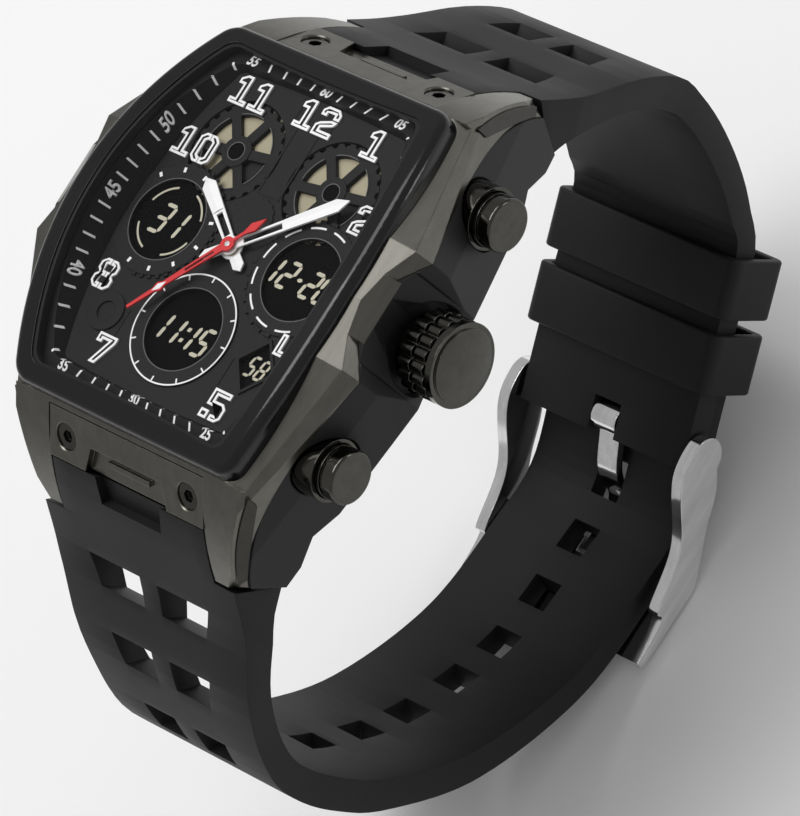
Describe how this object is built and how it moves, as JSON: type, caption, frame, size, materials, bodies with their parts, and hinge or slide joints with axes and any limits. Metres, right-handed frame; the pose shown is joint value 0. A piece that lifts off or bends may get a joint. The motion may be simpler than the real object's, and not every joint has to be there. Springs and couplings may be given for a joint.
{
  "type": "analogue and digital wrist watch",
  "caption": "Barrel-shaped wrist watch with hands, round digital windows, crown, push buttons and a black rubber strap closed by a pin buckle.",
  "frame": {"origin": "centre of the case back's outer face", "axes": "+Z out of the dial, +Y towards 12 o'clock, +X towards 3 o'clock and the crown"},
  "size_m": [0.0493, 0.0772, 0.0748],
  "materials": {
    "gunmetal": "satin",
    "dark_plate": "satin",
    "black_case": "matt",
    "black_rim": "satin gloss",
    "black_rubber": "matt",
    "clear_glass": "polished",
    "steel": "satin",
    "polished_steel": "polished",
    "dial_black": "matt",
    "lcd": "gloss",
    "cream": "matt",
    "white_paint": "satin",
    "red_paint": "satin",
    "brass": "turned",
    "board_green": "satin",
    "copper": "wound wire",
    "module_grey": "matt"
  },
  "bodies": {
    "case": {"mid_case": "black_case", "bezel": "gunmetal", "crystal_rim": "black_rim", "crystal": "clear_glass", "crystal_gasket": "black_rubber", "case_back": "steel", "case_back_gasket": "black_rubber", "case_back_screws": "steel", "end_plate_12": "gunmetal", "end_plate_6": "gunmetal", "end_plate_screws": "dark_plate", "lug_inlays": "dark_plate", "crown_tube": "steel", "pusher_tubes": "gunmetal", "pusher_spring_2": "steel", "pusher_spring_4": "steel", "strap_12": "black_rubber", "strap_6": "black_rubber", "spring_bar_12": "steel", "spring_bar_6": "steel", "keeper_fixed": "black_rubber", "buckle_bar": "polished_steel", "movement_holder": "module_grey", "movement_module": "module_grey", "circuit_board": "board_green", "battery": "polished_steel", "battery_clip": "steel", "stepper_coil": "copper", "buzzer": "brass", "buzzer_spring": "steel", "lcd_connector": "black_rubber", "lcd_panel": "lcd", "gear_backplate": "cream", "dial_gear_left": "dial_black", "dial_gear_right": "dial_black", "centre_gear": "dial_black", "subdial_rings": "dial_black", "diamond_frame": "dial_black", "dial_plate": "dial_black", "chapter_ring": "dial_black"},
    "hour": {"hour_hand": "white_paint", "hour_wheel": "brass"},
    "minute": {"minute_hand": "white_paint", "cannon_pinion": "brass"},
    "second": {"second_hand": "red_paint", "second_arbor": "steel"},
    "lever": {"setting_lever": "steel"},
    "crown": {"crown": "gunmetal", "stem": "steel", "crown_gasket": "black_rubber"},
    "button_2": {"pusher_2": "gunmetal", "pusher_clip_2": "steel", "pusher_gasket_2": "black_rubber"},
    "button_4": {"pusher_4": "gunmetal", "pusher_clip_4": "steel", "pusher_gasket_4": "black_rubber"},
    "keeper": {"keeper_free": "black_rubber"},
    "buckle": {"buckle_frame": "polished_steel"},
    "tongue": {"buckle_tongue": "polished_steel"}
  },
  "joints": [
    {"name": "minute_turn", "type": "hinge", "parent": "case", "child": "minute", "pos_m": [0, 0, 0.0127], "axis": [0, 0, -1], "continuous": true},
    {"name": "hour_turn", "type": "hinge", "parent": "case", "child": "hour", "pos_m": [0, 0, 0.0124], "axis": [0, 0, -1], "continuous": true},
    {"name": "second_turn", "type": "hinge", "parent": "case", "child": "second", "pos_m": [0, 0, 0.0132], "axis": [0, 0, -1], "continuous": true},
    {"name": "crown_pull", "type": "slide", "parent": "case", "child": "lever", "axis": [1, 0, 0], "range_m": [0, 0.001]},
    {"name": "crown_turn", "type": "hinge", "parent": "lever", "child": "crown", "pos_m": [0.022, 0, 0.0072], "axis": [1, 0, 0], "continuous": true},
    {"name": "button_2_press", "type": "slide", "parent": "case", "child": "button_2", "axis": [-1, 0, 0], "range_m": [0, 0.0009], "stiffness_N_per_m": 250, "springref_m": -0.001, "deforming": ["pusher_spring_2"]},
    {"name": "button_4_press", "type": "slide", "parent": "case", "child": "button_4", "axis": [-1, 0, 0], "range_m": [0, 0.0009], "stiffness_N_per_m": 250, "springref_m": -0.001, "deforming": ["pusher_spring_4"]},
    {"name": "keeper_slide", "type": "slide", "parent": "case", "child": "keeper", "axis": [0, -0.8829, -0.4695], "range_m": [-0.0012, 0.003]},
    {"name": "buckle_swing", "type": "hinge", "parent": "case", "child": "buckle", "pos_m": [0, 0.01287, -0.04886], "axis": [1, 0, 0], "range_deg": [0, 5]},
    {"name": "tongue_swing", "type": "hinge", "parent": "case", "child": "tongue", "pos_m": [0, 0.01287, -0.04886], "axis": [1, 0, 0], "range_deg": [0, 5]}
  ],
  "couplings": [
    {"joint": "hour_turn", "follows": "minute_turn", "ratio": 0.083333},
    {"joint": "tongue_swing", "follows": "buckle_swing", "ratio": 1}
  ]
}
